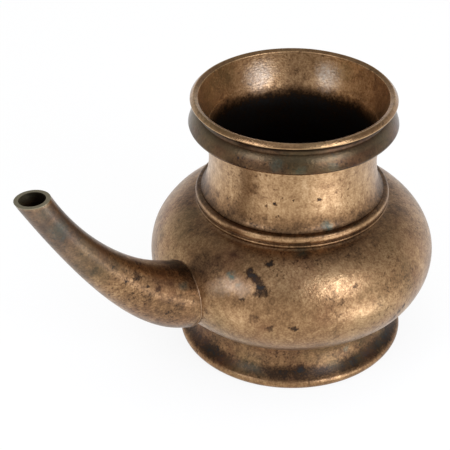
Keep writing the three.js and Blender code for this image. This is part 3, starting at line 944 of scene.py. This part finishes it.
# %% [markdown]
# ## The inside
# The inside has finishes of its own. It could be a second object, but then the two would have to meet at
# every edge. A second material slot is simpler. A face of the neck or the rim belongs to the inside when it
# looks towards the axis, one of the bowl when it lies within the middle of the wall or on the floor, and
# one of the spout when it lies within the middle of the horn's wall.


# %% Finish the inside
def line(obj, material, is_inside):
    """Gives the faces of an object that are inside a material of their own."""
    obj.data.materials.append(material)
    for face in obj.data.polygons:
        point = (face.center - Vector((AXIS_X, 0, 0))) / MM
        face.material_index = int(is_inside(point, face.normal))
    print(obj.name, "has", sum(face.material_index for face in obj.data.polygons), "inner faces")


def looks_in(point, normal):
    """Whether a face of the neck or the rim looks towards the axis."""
    return point.x * normal.x + point.y * normal.y < -0.6 * math.hypot(point.x, point.y)


def in_bowl(point, normal):
    """Whether a face of the bowl is inside it."""
    on_floor = math.hypot(point.x, point.y) < RING_R and normal.z > 0.5
    return on_floor or clearance(point) < -WALL / 2


COURSE, PAST = 60, 7
course = [(*spine(i / COURSE), cubic(TAPER, i / COURSE) - wall(i / COURSE) / 2) for i in range(COURSE + 1)]
end, way, radius = course[-1]
course += [(end + way * i, way, radius) for i in range(1, PAST)]


def in_bore(point, normal):
    """Whether a face of the spout is in its bore, and not on the level cut."""
    gaps = [(point - centre, way, radius) for centre, way, radius in course]
    return normal.z < 0.95 and any(gap.length < radius and abs(gap.dot(way)) < 2 for gap, way, radius in gaps)


line(neck, throated, looks_in)
line(rim, throated, looks_in)
line(bowl, black, in_bowl)
line(spout, bored, in_bore)

# %% [markdown]
# ## The studio
# The vessel stands on a plain white table. Metal shows mostly what it mirrors, so the room matters more
# than the lamps. Two soft lamps stand either side of the camera, and the room over them is dim: that is
# what turns the belly's shoulder and the top of the spout deep brown, while every upright wall mirrors the
# white table. A wide lamp overhead keeps the top edges alive. Two small cards low in front, weak as they
# are, put a glint on the sides that face down. All of them are very slightly blue, as daylight from a
# window is.

# %% Floor
FLOOR_HALF = 3 / MM
OWN_WHITE = 0.85  # how much of the table's brightness in the picture and in the metal is its own
bm = bmesh.new()
bmesh.ops.create_grid(bm, x_segments=1, y_segments=1, size=FLOOR_HALF)
floor = finished(bm, "floor")
paper = bpy.data.materials.new("white table")
paper.use_nodes = True
tree = paper.node_tree
bsdf = tree.nodes["Principled BSDF"]
bsdf.inputs["Base Color"].default_value = linear("f2f2f2")
bsdf.inputs["Roughness"].default_value = 0.9
rays = add(tree, "LightPath")
seen = add(tree, "Math", {0: rays["Is Camera Ray"], 1: rays["Is Glossy Ray"]}, operation="MAXIMUM")[0]
share = add(tree, "Math", {0: seen, 1: OWN_WHITE}, operation="MULTIPLY")[0]
glow = add(tree, "Emission", {"Color": linear("ffffff"), "Strength": 1.0})[0]
mixed = add(tree, "MixShader", {0: share, 1: bsdf.outputs[0], 2: glow})[0]
tree.links.new(mixed, tree.nodes["Material Output"].inputs["Surface"])
floor.data.materials.append(paper)

# %% Lamps
DAYLIGHT = linear("e6efff")[:3]
AIM_HEIGHT = 0.07


def lamp(name, turn, height, distance, size, power):
    """A square soft lamp at an angle round the vessel from the camera, aimed at it. Angles are in degrees,
    the distance and the size in metres, and the power in watts."""
    light = bpy.data.lights.new(name, "AREA")
    light.size, light.energy = size, power
    light.color = DAYLIGHT
    obj = bpy.data.objects.new(name, light)
    bpy.context.scene.collection.objects.link(obj)
    heading = math.atan2(CAMERA.y, CAMERA.x - AXIS_X) + math.radians(turn)
    up = math.radians(height)
    way = Vector((math.cos(heading) * math.cos(up), math.sin(heading) * math.cos(up), math.sin(up)))
    obj.location = Vector((AXIS_X, 0, AIM_HEIGHT)) + way * distance
    obj.rotation_mode = "QUATERNION"
    obj.rotation_quaternion = way.to_track_quat("Z", "Y")


lamp("right softbox", turn=42, height=27, distance=0.7, size=0.3, power=2.1)
lamp("left softbox", turn=-42, height=30, distance=0.7, size=0.25, power=0.9)
lamp("overhead softbox", turn=20, height=68, distance=0.9, size=0.9, power=0.95)
lamp("right card", turn=45, height=-25, distance=0.165, size=0.09, power=0.078)
lamp("left card", turn=-30, height=-25, distance=0.165, size=0.05, power=0.008)
print("lamps:", [light.name for light in bpy.data.lights])

# %% [markdown]
# ## The room
# An even white world would do for a matt pot, but on metal it would wash the shoulder out. So what the
# metal mirrors is as bright as the table at the horizon and falls to a dim ceiling over the lamps. The
# camera and the matt table see plain white.

# %% World
HORIZON, CEILING_STARTS = 0.0, 0.55
WHITE, CEILING = 1.0, 0.37
world = bpy.data.worlds.new("studio")
bpy.context.scene.world = world
world.use_nodes = True
tree = world.node_tree
upwards = add(tree, "SeparateXYZ", {0: add(tree, "TexCoord")["Generated"]})["Z"]
dimming = {0: upwards, 1: HORIZON, 2: CEILING_STARTS, 3: WHITE, 4: CEILING}
room = add(tree, "MapRange", dimming, interpolation_type="SMOOTHSTEP")[0]
rays = add(tree, "LightPath")
plainly = add(tree, "Math", {0: rays["Is Camera Ray"], 1: rays["Is Diffuse Ray"]}, operation="MAXIMUM")[0]
strength = add(tree, "Math", {0: room, 1: plainly}, operation="MAXIMUM")[0]
tree.links.new(strength, tree.nodes["Background"].inputs["Strength"])
tree.nodes["Background"].inputs["Color"].default_value = linear("ffffff")
print("what the metal mirrors falls from", WHITE, "at the horizon to", CEILING, "overhead")
bpy.context.scene.view_settings.view_transform = "Standard"
